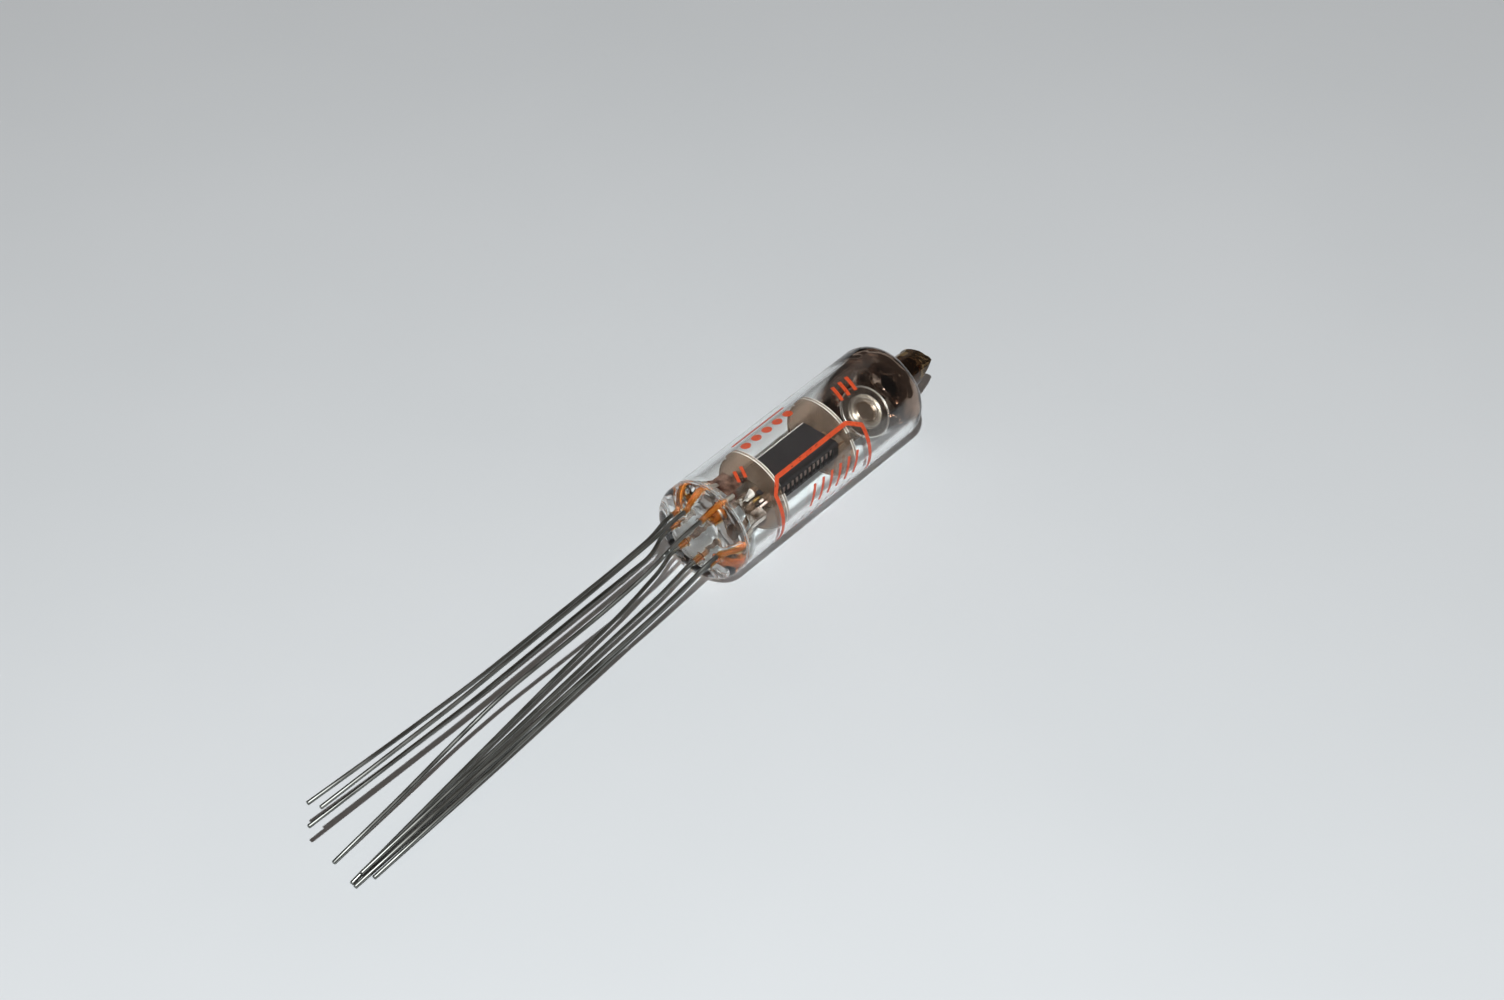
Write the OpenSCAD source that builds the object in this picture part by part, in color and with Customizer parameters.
// Subminiature vacuum tube with eight flying leads, lying on its side.
// Part frame: millimetres, +X from the base towards the exhaust tip, +Z up.
// The origin is on the tube's axis, half way along the straight wall of the bulb.
// Stations along the tube are measured from the flat end of the base.

/* [Bulb] */
// outside diameter of the glass bulb
bulb_d = 10; // [8:0.1:12]
// thickness of the bulb's wall
wall = 0.7; // [0.4:0.05:1]
// flat end of the base to the crown of the dome
bulb_len = 29.2; // [26:0.1:34]
// rounding at the base
base_corner_r = 1.5; // [1:0.1:2]
// rounding at the dome
dome_corner_r = 2.2; // [1.8:0.1:3]

/* [Exhaust tip] */
// diameter of the sealed-off exhaust tube
tip_d = 3.6; // [3:0.1:4.5]
// bore left in the tip
tip_bore_d = 2.2; // [1.4:0.1:2.6]
// how far the tip stands out of the dome
tip_len = 4.4; // [3:0.1:5]
// glass at the closed end of the tip
tip_end_wall = 0.7; // [0.5:0.1:1.6]
// width of the fillet where the tip leaves the dome
tip_fillet = 0.5; // [0.2:0.1:0.8]
// length over which the bore closes
tip_taper = 1.3; // [0.8:0.1:2]
// diameter at the closed end of the bore
tip_point_d = 0.6; // [0.3:0.1:1]
// distance from the axis to the ridge between the two faces of the break
break_ridge = 0.35; // [0:0.05:0.8]
// slant of the broken face beyond the ridge
break_slant = 22; // [5:1:30]
// slant of the chip on the near side of the ridge
chip_slant = 60; // [45:1:65]
// length of the chip's face
chip_len = 3.1; // [2:0.1:3.4]
// turn of the whole break about the tube
break_turn = 10; // [0:1:20]
// from the end of the tip to the notch in its far edge
notch_back = 1.55; // [1.2:0.05:1.8]
// width of the notch
notch_w = 0.35; // [0.2:0.05:0.5]
// length of the notch round the tip
notch_len = 1.1; // [0.6:0.1:1.4]
// depth of the notch
notch_depth = 0.42; // [0.2:0.02:0.5]

/* [Stem] */
// thickness of the pressed glass stem
stem_h = 2.5; // [2:0.1:3.5]
// height of the ring on the inside of the stem
stem_ring_h = 0.3; // [0.1:0.05:0.6]
// width of that ring
stem_ring_w = 0.3; // [0.2:0.05:0.4]
// gap between that ring and the wall of the bulb
stem_ring_gap = 0.15; // [0.1:0.05:0.3]
// diameter of the glass bead round each lead
bead_d = 0.9; // [0.6:0.05:1.2]
// height of each bead inside the bulb
bead_h = 0.35; // [0.2:0.05:0.6]
// how deep each bead reaches into the stem
bead_root = 0.5; // [0.3:0.05:0.8]

/* [Leads] */
// diameter of the lead wire
wire_d = 0.41; // [0.35:0.01:0.5]
// radius of the circle of leads
lead_circle_r = 2.95; // [2.5:0.05:3.2]
// angle between neighbouring leads, nine places with one vacant
lead_pitch = 40; // [30:1:45]
// angle of the first lead above the near side
lead_first = 71; // [0:1:120]
// inner end of the leads, from the flat end of the base
lead_top = 4.6; // [3.5:0.1:6]
// straight stub outside the glass before the first bend
lead_stub = 0.3; // [0.1:0.1:2]
// length of a bend on each side of its corner
bend_len = 0.7; // [0.5:0.1:1.2]
// depth of the welding flat on a lead
weld_flat = 0.06; // [0.03:0.01:0.12]
// bare part of a flat below its ribbon
weld_step = 0.1; // [0:0.05:0.3]

/* [Micas] */
// clearance between a mica's edge and the bulb
mica_clear = 0.05; // [0.02:0.01:0.3]
// thickness of the micas
mica_t = 0.35; // [0.15:0.05:0.5]
// underside of the lower mica, from the flat end of the base
mica_low = 8.2; // [7.5:0.1:10]
// free height between the micas
mica_gap = 9.6; // [8:0.1:12]
// clearance of a wire or tab in its mica hole
hole_clear = 0.02; // [0.01:0.01:0.05]
// width of the notches in a mica's edge
mica_notch_w = 0.7; // [0.4:0.05:1]
// depth of those notches
mica_notch_depth = 0.25; // [0.1:0.05:0.4]
// angle of the notches above and below the sides
mica_notch_angle = 35; // [25:1:45]

/* [Anode] */
// width of the flattened box
anode_w = 4.7; // [4:0.1:6]
// height of the flattened box
anode_h = 2; // [1.6:0.1:3]
// thickness of the anode sheet
anode_t = 0.14; // [0.08:0.02:0.25]
// outside rounding along the box
anode_r = 0.5; // [0.3:0.05:0.8]
// pitch of the windows in the side walls
window_pitch = 0.62; // [0.5:0.02:0.9]
// number of windows in a side wall
window_count = 13; // [8:1:15]
// width of one window
window_w = 0.46; // [0.2:0.02:0.5]
// height of one window
window_h = 1.5; // [0.6:0.05:1.6]
// distance of the mounting tabs from the middle
anode_tab_y = 1.2; // [0.8:0.1:1.6]
// width of a mounting tab
anode_tab_w = 0.6; // [0.4:0.05:0.9]
// how far the tabs stand out of the micas
anode_tab_out = 0.4; // [0.2:0.05:0.6]

/* [Grids] */
// diameter of the grid side rods
rod_d = 0.26; // [0.2:0.02:0.3]
// distance of the control grid's rods from the axis
control_y = 0.92; // [0.8:0.01:1]
// distance of the screen grid's rods from the axis
screen_y = 1.38; // [1.3:0.01:1.5]
// distance of the suppressor grid's rods from the axis
suppressor_y = 1.86; // [1.8:0.01:1.9]
// half height of the control grid's winding
control_h = 0.55; // [0.52:0.01:0.58]
// half height of the screen grid's winding
screen_h = 0.67; // [0.65:0.01:0.7]
// half height of the suppressor grid's winding
suppressor_h = 0.79; // [0.77:0.01:0.82]
// thickness of the winding wire
turn_t = 0.06; // [0.04:0.01:0.1]
// pitch of the drawn turns
turn_pitch = 0.62; // [0.4:0.02:1]
// number of drawn turns
turn_count = 13; // [8:1:15]
// how far a rod stands out of a mica
rod_out = 0.4; // [0.2:0.05:0.6]

/* [Cathode and heater] */
// diameter of the cathode sleeve
cathode_d = 0.86; // [0.8:0.02:0.9]
// wall of the sleeve
cathode_wall = 0.06; // [0.04:0.01:0.1]
// diameter of the coated heater wire
heater_d = 0.2; // [0.12:0.02:0.26]
// distance between the heater's two legs
heater_span = 0.34; // [0.3:0.02:0.5]
// gap between the two feet that hold the heater
heater_gap = 0.12; // [0.06:0.02:0.14]
// lower end of the heater's legs, from the flat end of the base
heater_low = 6.6; // [6:0.1:6.8]
// from the top of the upper mica down to the heater's bend
heater_drop = 0.4; // [0.2:0.1:1]

/* [Ribbons] */
// width of the nickel ribbons
ribbon_w = 0.7; // [0.4:0.05:1]
// thickness of the ribbons
ribbon_t = 0.1; // [0.06:0.01:0.15]
// width of the ribbons' feet under the mica
foot_w = 0.4; // [0.3:0.05:0.6]
// depth of the webs, the feet that stand on edge along the tube
web_depth = 1.35; // [0.8:0.05:1.6]
// level of the feet, from the flat end of the base
foot_level = 7.25; // [7:0.05:8]
// level of the two feet that hold the heater
heater_foot_level = 6.8; // [6.5:0.05:7.1]

/* [Lower shield] */
// length of the shield along the tube
shield_len = 2.6; // [2:0.1:2.8]
// start of the shield, from the flat end of the base
shield_low = 3.9; // [3:0.1:5]
// near edge of the shield
shield_near = -0.5; // [-0.7:0.05:0]
// clearance of the shield's far side from the ribbon on the third lead
shield_far = 0.2; // [0.15:0.05:0.6]
// depth of its two side walls
shield_drop = 1.25; // [0.6:0.05:1.6]
// thickness of its sheet
shield_t = 0.12; // [0.08:0.01:0.2]

/* [Getter] */
// tilt of the getter's face above the near side
getter_tilt = 54.7; // [40:0.1:70]
// centre of the getter, from the middle of the free space under the dome
getter_x = -0.1; // [-0.6:0.1:0.6]
// sideways offset of the getter's centre in its own plane
getter_side = -0.6; // [-0.8:0.05:0.4]
// diameter of the getter's flange
getter_d = 5.3; // [4:0.1:5.6]
// diameter of the getter's cup
cup_d = 3.4; // [2.5:0.1:4]
// wall of the cup's rim and of the two ridges inside it
cup_wall = 0.13; // [0.1:0.01:0.18]
// distance from one ridge of the cup to the next
cup_step = 0.26; // [0.2:0.02:0.34]
// height of the cup's rim
cup_h = 0.45; // [0.3:0.05:0.7]
// thickness of the flange
flange_t = 0.14; // [0.1:0.02:0.3]
// width of the carrying strap
strap_w = 1.3; // [0.8:0.1:1.6]
// thickness of the carrying strap
strap_t = 0.12; // [0.08:0.02:0.2]
// start of the strap above the upper mica
strap_rise = 0.9; // [0.6:0.1:1.5]
// free space between the end of the strap and the dome
strap_end = 1.9; // [1.5:0.1:2.5]
// length of the strap's side arm
arm_len = 1.9; // [1.4:0.1:2.2]
// width of the side arm
arm_w = 0.5; // [0.3:0.05:0.8]
// distance of the side arm from the end of the strap
arm_back = 0.5; // [0.3:0.1:0.8]
// length of the grid rod that carries the strap, above the upper mica
carrier_end = 3.5; // [2.5:0.1:4.5]
// thickness of the mirror film in the dome
film_t = 0.04; // [0.03:0.01:0.08]
// depth of the film below the dome on the side that the getter faces
film_top = 1.9; // [1:0.1:5]
// depth of the film below the dome behind the getter
film_bottom = 7.1; // [5:0.1:8]

/* [Hidden] */
$fn = 48;
bulb_r = bulb_d / 2;
inner_r = bulb_r - wall;
wire_r = wire_d / 2;
rod_r = rod_d / 2;
origin_x = (base_corner_r + bulb_len - dome_corner_r) / 2;
tip_end = bulb_len + tip_len;
inner_top = bulb_len - wall;
inner_corner_r = dome_corner_r - wall;
mica_d = 2 * (inner_r - mica_clear);
mica_low_top = mica_low + mica_t;
mica_up = mica_low_top + mica_gap;
mica_up_top = mica_up + mica_t;
rod_low = mica_low - rod_out;
rod_up = mica_up_top + rod_out;
cathode_r = cathode_d / 2;
heater_r = heater_d / 2;
weld_r = lead_circle_r - wire_r + weld_flat;
post_low = stem_h + stem_ring_h + bead_h;
getter_at = (mica_up_top + inner_top) / 2 + getter_x;
strap_low = mica_up_top + strap_rise;
strap_top = inner_top - strap_end;
floor_z = -bulb_r;
lie_z = floor_z + wire_r;
core_r = wire_r * 0.985;
wire_sides = 12;
run_lap = 0.3;
cut = 1;

// Placing and small helpers

// stands its children on a station of the tube: local x is Y, local y is Z, local z is X
module station(x) {
    translate([x - origin_x, 0, 0]) rotate([90, 0, 90]) children();
}
function len3(v) = sqrt(v[0] * v[0] + v[1] * v[1] + v[2] * v[2]);
function lead_angle(i) = lead_first + lead_pitch * (i - 1);
// a point of the cross-section at radius r on the line of lead i
function around(r, a) = [-r * cos(a), r * sin(a)];
function lead_at(i, x) = [x - origin_x, -lead_circle_r * cos(lead_angle(i)), lead_circle_r * sin(lead_angle(i))];
// a route point given from the flat end of the base
function from_base(p) = [p[0] - origin_x, p[1], p[2]];

function unit(v) = v / len3(v);
// a rod of radius r from p to q
module rod(p, q, r) {
    v = q - p;
    translate(p)
        rotate([0, acos(v[2] / len3(v)), atan2(v[1], v[0])])
            cylinder(r = r, h = len3(v));
}

// the three points that round the corner at b between a and c
function corner(a, b, c) =
    let (p = b + unit(a - b) * bend_len, q = b + unit(c - b) * bend_len)
        [p, (p + q + 2 * b) / 4, q];
function rounded(pts) = [
    for (i = [0 : len(pts) - 1])
        for (p = i == 0 || i == len(pts) - 1 ? [pts[i]] : corner(pts[i - 1], pts[i], pts[i + 1])) p];

// a bent core swept along the points, a hair thinner than the wire so that it ends inside its straight runs
module swept(pts) {
    n = len(pts) - 1;
    rings = [for (i = [0 : n])
        let (
            t = unit(pts[min(i + 1, n)] - pts[max(i - 1, 0)]),
            side = unit(cross([0, 0, 1], t)),
            up = cross(t, side))
            for (k = [0 : wire_sides - 1])
                let (a = 360 * k / wire_sides) pts[i] + core_r * (cos(a) * side + sin(a) * up)];
    walls = [for (i = [0 : n - 1]) for (k = [0 : wire_sides - 1])
        let (m = (k + 1) % wire_sides, o = i * wire_sides)
            [o + k, o + k + wire_sides, o + m + wire_sides, o + m]];
    first = [for (k = [0 : wire_sides - 1]) k];
    last = [for (k = [0 : wire_sides - 1]) n * wire_sides + wire_sides - 1 - k];
    polyhedron(points = rings, faces = concat([first], walls, [last]), convexity = 4);
}

// one continuous stiff wire: round post through the stem, bent run outside, straight round end
module bent_wire(post, route) {
    n = len(route) - 1;
    back = unit(route[n] - route[n - 1]);
    start = route[n - 1] + back * (bend_len + run_lap);
    rod(post[0], post[1], wire_r);
    rod(start, route[n], wire_r);
    swept(rounded(concat(
            [post[1] + [run_lap, 0, 0], post[1] - [bend_len, 0, 0]],
            [for (i = [0 : n - 1]) route[i]],
            [start + back * run_lap])));
}

// a lead with its inner post, a welding flat on the side away from the angle facing, and its route
module lead(i, facing, route) {
    difference() {
        bent_wire([lead_at(i, lead_top), lead_at(i, -lead_stub)], [for (p = route) from_base(p)]);
        station(post_low) translate(around(lead_circle_r, lead_angle(i)))
            rotate([0, 0, 180 - facing])
                translate([weld_flat - wire_r - wire_d, -wire_d, 0]) cube([wire_d, 2 * wire_d, lead_top]);
    }
}

// a flattened ring outline, half width w and half height h
module oval(w, h) {
    c = h * 0.55;
    polygon([[w, h - c], [w - c, h], [c - w, h], [-w, h - c], [-w, c - h], [c - w, -h], [w - c, -h], [w, c - h]]);
}

// a rectangle with round corners
module round_box(w, h, r) {
    square([w - 2 * r, h], center = true);
    square([w, h - 2 * r], center = true);
    for (sx = [-1, 1]) for (sy = [-1, 1])
        translate([sx * (w / 2 - r), sy * (h / 2 - r)]) circle(r = r);
}

// Glass

// half outline of the outside of the glass, without the tip
module bulb_outline() {
    translate([0, base_corner_r]) square([bulb_r, bulb_len - base_corner_r - dome_corner_r]);
    square([bulb_r - base_corner_r, bulb_len]);
    square([bulb_r - dome_corner_r, bulb_len]);
    intersection() {
        translate([bulb_r - base_corner_r, base_corner_r]) circle(r = base_corner_r);
        square([bulb_r, bulb_len]);
    }
    intersection() {
        translate([bulb_r - dome_corner_r, bulb_len - dome_corner_r]) circle(r = dome_corner_r);
        square([bulb_r, bulb_len]);
    }
}

// half outline of the space inside the bulb, grown inwards by the given film
module inside_outline(film) {
    r = inner_r - film;
    top = inner_top - film;
    corner = inner_corner_r - film;
    square([r, top - corner]);
    square([r - corner, top]);
    translate([r - corner, top - corner]) circle(r = corner);
}

// half outline of the bore left in the tip, tapering to its sealed end
module bore_outline() {
    top = tip_end - tip_end_wall;
    polygon([[0, inner_top - wall], [tip_bore_d / 2, inner_top - wall], [tip_bore_d / 2, top - tip_taper],
        [tip_point_d / 2, top], [0, top]]);
}

module glass_bulb() {
    color("lightblue", 0.35) difference() {
        station(0) difference() {
            rotate_extrude() difference() {
                union() {
                    bulb_outline();
                    translate([0, bulb_len - wall]) square([tip_d / 2, tip_len + wall]);
                    difference() {
                        translate([0, bulb_len - wall]) square([tip_d / 2 + tip_fillet, wall + tip_fillet]);
                        translate([tip_d / 2 + tip_fillet, bulb_len + tip_fillet]) circle(r = tip_fillet);
                    }
                }
                translate([0, -cut]) square([inner_r, stem_h]);
                inside_outline(0);
                bore_outline();
            }
        }
        // the sealed end is broken off unevenly: a slanting face, a long chip on the near side
        // and a notch on the far side
        translate([tip_end - origin_x, 0, 0]) getter_plane() {
            rotate([break_turn, 0, 0]) translate([0, -break_ridge, 0]) {
                rotate([0, 0, break_slant]) translate([0, -2 * tip_d, -tip_d]) cube([tip_d, 4 * tip_d, 2 * tip_d]);
                rotate([0, 0, -chip_slant]) translate([0, -chip_len, -tip_d]) cube([tip_d, chip_len, 2 * tip_d]);
            }
            translate([-notch_back, tip_d / 2 - notch_depth, -notch_len / 2]) cube([notch_w, tip_d, notch_len]);
        }
    }
}

module glass_stem() {
    color("lightblue", 0.45) station(0) difference() {
        union() {
            rotate_extrude() {
                intersection() {
                    bulb_outline();
                    square([inner_r, stem_h]);
                }
                translate([inner_r - stem_ring_gap - stem_ring_w, 0]) square([stem_ring_w, stem_h + stem_ring_h]);
            }
            for (i = [1 : 8])
                rotate([0, 0, 180 - lead_angle(i)]) translate([lead_circle_r, 0, stem_h - bead_root])
                    cylinder(d1 = bead_d * 1.3, d2 = bead_d * 0.7, h = bead_root + bead_h);
        }
        for (i = [1 : 8])
            rotate([0, 0, 180 - lead_angle(i)]) translate([lead_circle_r, 0, -cut])
                cylinder(r = wire_r, h = post_low + 2 * cut);
    }
}

// Leads, each one continuous stiff wire

module lead_1() {
    color("silver") lead(1, lead_angle(1), [
        [-3.4, -0.9, 2.4], [-6.8, -1.15, 1.85], [-12.5, -0.6, 0.5], [-25.5, 0, -0.7],
        [-31, 0.45, -2.4], [-38, 0.25, -3.6], [-46.8, 0, lie_z]]);
}
module lead_2() {
    color("silver") lead(2, 90, [[-3.8, 0.95, 2.5], [-13, 0.65, 2.4], [-31, 0.3, 2.25], [-47, 0.55, 2.1]]);
}
module lead_3() {
    color("silver") lead(3, lead_angle(3), [[-3.2, 2.05, 1.4], [-8, 1.8, 1.4], [-27, 1.55, 1.35],
        [-37, 1.85, 1.35], [-47, 2.25, 1.4]]);
}
module lead_4() {
    color("silver") lead(4, lead_angle(4), [[-3.2, 2.2, -1.1], [-12, 2, -0.9], [-28, 1.3, -0.45], [-48, 1.25, 0]]);
}
module lead_5() {
    color("silver") lead(5, lead_angle(5), [[-3.4, 1, -2.15], [-9, 0.3, -2.6], [-20, -0.5, -3.2], [-32.5, -1.5, -4],
        [-47.4, -2.85, lie_z]]);
}
module lead_6() {
    color("silver") lead(6, lead_angle(6), [[-5, -0.65, -2.9], [-14.5, -1.25, -3.05], [-26, -1.95, -3.5],
        [-46.4, -3.05, -4.22]]);
}
module lead_7() {
    color("silver") lead(7, lead_angle(7), [[-4, -2.2, -2.45], [-15, -2.75, -2.95], [-30, -3.4, -3.85],
        [-45.7, -3.85, lie_z]]);
}
module lead_8() {
    color("silver") lead(8, lead_angle(8), [[-3.2, -2.8, -1.1], [-8.5, -2.95, -1.6], [-20, -2.95, -2.6],
        [-34, -3.05, -3.8], [-47.5, -3.35, lie_z]]);
}

// Micas

module mica(x) {
    station(x) difference() {
        cylinder(d = mica_d, h = mica_t);
        for (y = [control_y, screen_y, suppressor_y]) for (s = [-1, 1])
            translate([s * y, 0, -cut]) cylinder(r = rod_r + hole_clear, h = mica_t + 2 * cut);
        translate([0, 0, -cut]) cylinder(r = cathode_r + hole_clear, h = mica_t + 2 * cut);
        for (sy = [-1, 1]) for (sz = [-1, 1])
            translate([sy * anode_tab_y, sz * (anode_h - anode_t) / 2, 0])
                cube([anode_tab_w + 2 * hole_clear, anode_t + 2 * hole_clear, 3 * mica_t], center = true);
        for (side = [0, 180]) for (s = [-1, 1])
            rotate([0, 0, side + s * mica_notch_angle]) translate([mica_d / 2, 0, 0])
                cube([2 * mica_notch_depth, mica_notch_w, 3 * mica_t], center = true);
    }
}
module lower_mica() {
    color("tan") mica(mica_low);
}
module upper_mica() {
    color("tan") mica(mica_up);
}

// Anode

// half of the flattened box, with comb-like side walls and two tabs at each end
module anode_half() {
    station(mica_low_top) {
        difference() {
            linear_extrude(height = mica_gap) intersection() {
                difference() {
                    round_box(anode_w, anode_h, anode_r);
                    round_box(anode_w - 2 * anode_t, anode_h - 2 * anode_t, anode_r - anode_t);
                }
                translate([-anode_w, 0]) square([2 * anode_w, anode_h]);
            }
            for (k = [0 : window_count - 1])
                translate([0, 0, mica_gap / 2 + (k - (window_count - 1) / 2) * window_pitch])
                    cube([2 * anode_w, window_h, window_w], center = true);
        }
        for (s = [-1, 1])
            translate([s * anode_tab_y - anode_tab_w / 2, anode_h / 2 - anode_t, -mica_t - anode_tab_out])
                cube([anode_tab_w, anode_t, mica_gap + 2 * (mica_t + anode_tab_out)]);
    }
}
module anode_top_half() {
    color("dimgray") anode_half();
}
module anode_bottom_half() {
    color("dimgray") rotate([180, 0, 0]) anode_half();
}

// Grids

// two side rods with flat oval turns; the rods' four ends are given near side first, low end first
module grid(y, h, low_near, low_far, up_near, up_far) {
    w = y + rod_r;
    station(0) {
        translate([-y, 0, low_near]) cylinder(r = rod_r, h = up_near - low_near, $fn = 12);
        translate([y, 0, low_far]) cylinder(r = rod_r, h = up_far - low_far, $fn = 12);
        for (k = [0 : turn_count - 1])
            translate([0, 0, mica_low_top + mica_gap / 2 + (k - (turn_count - 1) / 2) * turn_pitch - turn_t / 2])
                linear_extrude(height = turn_t) difference() {
                    oval(w, h);
                    oval(w - turn_t, h - turn_t);
                }
    }
}
module control_grid() {
    color("gold") grid(control_y, control_h, foot_level + ribbon_t, rod_low, rod_up, rod_up);
}
module screen_grid() {
    color("silver") grid(screen_y, screen_h, rod_low, foot_level + ribbon_t, rod_up, rod_up);
}
module suppressor_grid() {
    color("silver") difference() {
        grid(suppressor_y, suppressor_h, foot_level + ribbon_t, rod_low, mica_up_top + carrier_end, rod_up);
        // flat on the near rod where the getter's strap is welded
        getter_plane() translate([strap_low - origin_x, -bulb_r, strap_under])
            cube([bulb_d, bulb_d, rod_d]);
    }
}

// Cathode and heater

cathode_low = foot_level + ribbon_t;
cathode_up = mica_up_top + rod_out;
module cathode_sleeve() {
    color("whitesmoke") station(cathode_low) difference() {
        cylinder(r = cathode_r, h = cathode_up - cathode_low);
        translate([0, 0, -cut]) cylinder(r = cathode_r - cathode_wall, h = cathode_up - cathode_low + 2 * cut);
    }
}
// a hairpin: two legs and a half ring at the top
module heater() {
    bend_x = mica_up_top - heater_drop;
    color("white") {
        station(heater_low) for (s = [-1, 1])
            translate([0, s * heater_span / 2, 0]) cylinder(r = heater_r, h = bend_x - heater_low);
        translate([bend_x - origin_x, 0, 0]) rotate([90, 0, 0]) difference() {
            rotate_extrude() translate([heater_span / 2, 0]) circle(r = heater_r);
            translate([-heater_span * 2, -heater_span * 2, -heater_span])
                cube([heater_span * 2, heater_span * 4, heater_span * 2]);
        }
    }
}

// Nickel ribbons from the leads to the electrodes

// a leg along the lead, welded to its flat, and a foot across to the electrode at the point to,
// foot_size wide and foot_depth deep below the foot's upper side
module ribbon(i, level, to, reach, foot_size = foot_w, foot_depth = ribbon_t) {
    a = around(weld_r - ribbon_t / 2, lead_angle(i));
    v = to - a;
    l = sqrt(v[0] * v[0] + v[1] * v[1]);
    low = post_low + weld_step;
    station(0) {
        rotate([0, 0, 180 - lead_angle(i)])
            translate([weld_r - ribbon_t, -ribbon_w / 2, low]) cube([ribbon_t, ribbon_w, level + ribbon_t - low]);
        translate([a[0], a[1], level + ribbon_t - foot_depth]) rotate([0, 0, atan2(v[1], v[0])])
            translate([-ribbon_t / 4, -foot_size / 2, 0]) cube([l + ribbon_t / 4 + reach, foot_size, foot_depth]);
    }
}
module ribbon_1() {
    color("silver") difference() {
        ribbon(1, heater_foot_level, [0, heater_span / 2], heater_r * 2);
        station(0) translate([0, heater_span / 2, 0]) cylinder(r = heater_r, h = bulb_len);
        station(0) translate([-cut, heater_gap / 2 - cut, 0]) cube([2 * cut, cut, bulb_len]);
    }
}
module ribbon_3() {
    color("silver") ribbon(3, foot_level, [anode_tab_y, anode_h / 2 - anode_t / 2], foot_w / 2);
}
module ribbon_4() {
    color("silver") ribbon(4, foot_level, [screen_y, 0], rod_r);
}
module ribbon_5() {
    color("silver") ribbon(5, foot_level, [cathode_r, -cathode_r] * cos(45), cathode_wall);
}
module ribbon_6() {
    color("silver") difference() {
        ribbon(6, heater_foot_level, [0, -heater_span / 2], heater_r * 2);
        station(0) translate([0, -heater_span / 2, 0]) cylinder(r = heater_r, h = bulb_len);
        station(0) translate([-cut, -heater_gap / 2, 0]) cube([2 * cut, cut, bulb_len]);
    }
}
module ribbon_7() {
    color("silver") ribbon(7, foot_level, [-control_y, 0], rod_r, ribbon_t, web_depth);
}
module ribbon_8() {
    color("silver") ribbon(8, foot_level, [-suppressor_y, 0], rod_r, ribbon_t, web_depth);
}

// Lower shield, a bent sheet welded to lead 2

module lower_shield() {
    top = lead_circle_r * sin(lead_angle(2)) - wire_r + weld_flat;
    a = lead_angle(3);
    far = -(weld_r - ribbon_t) * cos(a) - ribbon_w / 2 * sin(a) - shield_far;
    color("silver") translate([shield_low - origin_x, shield_near, top - shield_t]) {
        cube([shield_len, far - shield_near, shield_t]);
        for (y = [0, far - shield_near - shield_t])
            translate([0, y, -shield_drop]) cube([shield_len, shield_t, shield_drop + shield_t]);
    }
}

// Getter

// local x runs along the tube, local z towards the getter's open face
module getter_plane() {
    rotate([90 - getter_tilt, 0, 0]) children();
}
strap_under = suppressor_y * cos(getter_tilt) + rod_r - weld_flat;
strap_side = -suppressor_y * sin(getter_tilt);

module getter_dish() {
    color("silver") getter_plane()
        translate([getter_at - origin_x, getter_side, strap_under + strap_t])
            rotate_extrude() {
                square([getter_d / 2, flange_t]);
                translate([getter_d / 2 - flange_t, 0]) square([flange_t, flange_t * 2]);
                for (k = [0 : 2])
                    translate([cup_d / 2 - cup_wall - k * cup_step, 0]) square([cup_wall, cup_h * (1 - 0.2 * k)]);
                square([cup_d / 2 - 3 * cup_step, cup_h * 0.45]);
            }
}
module getter_strap() {
    color("silver") getter_plane() {
        translate([strap_low - origin_x, strap_side - strap_w / 2, strap_under])
            cube([strap_top - strap_low, strap_w, strap_t]);
        translate([strap_top - arm_back - arm_w - origin_x, strap_side, strap_under])
            cube([arm_w, arm_len, strap_t]);
    }
}
// the mirror that the getter left on the inside of the dome, cut along a slant
module getter_film() {
    slope = atan2(film_bottom - film_top, 2 * inner_r);
    middle = inner_top - (film_top + film_bottom) / 2;
    color("black", 0.6) difference() {
        station(0) rotate_extrude() difference() {
            inside_outline(0);
            inside_outline(film_t);
            translate([0, inner_top - wall]) square([tip_bore_d / 2, 2 * wall]);
        }
        getter_plane() translate([middle - origin_x, 0, 0]) rotate([0, slope, 0])
            translate([-6 * bulb_d, -3 * bulb_d, -3 * bulb_d]) cube(6 * bulb_d);
    }
}

glass_bulb();
glass_stem();
lead_1();
lead_2();
lead_3();
lead_4();
lead_5();
lead_6();
lead_7();
lead_8();
lower_mica();
upper_mica();
anode_top_half();
anode_bottom_half();
control_grid();
screen_grid();
suppressor_grid();
cathode_sleeve();
heater();
ribbon_1();
ribbon_3();
ribbon_4();
ribbon_5();
ribbon_6();
ribbon_7();
ribbon_8();
lower_shield();
getter_dish();
getter_strap();
getter_film();
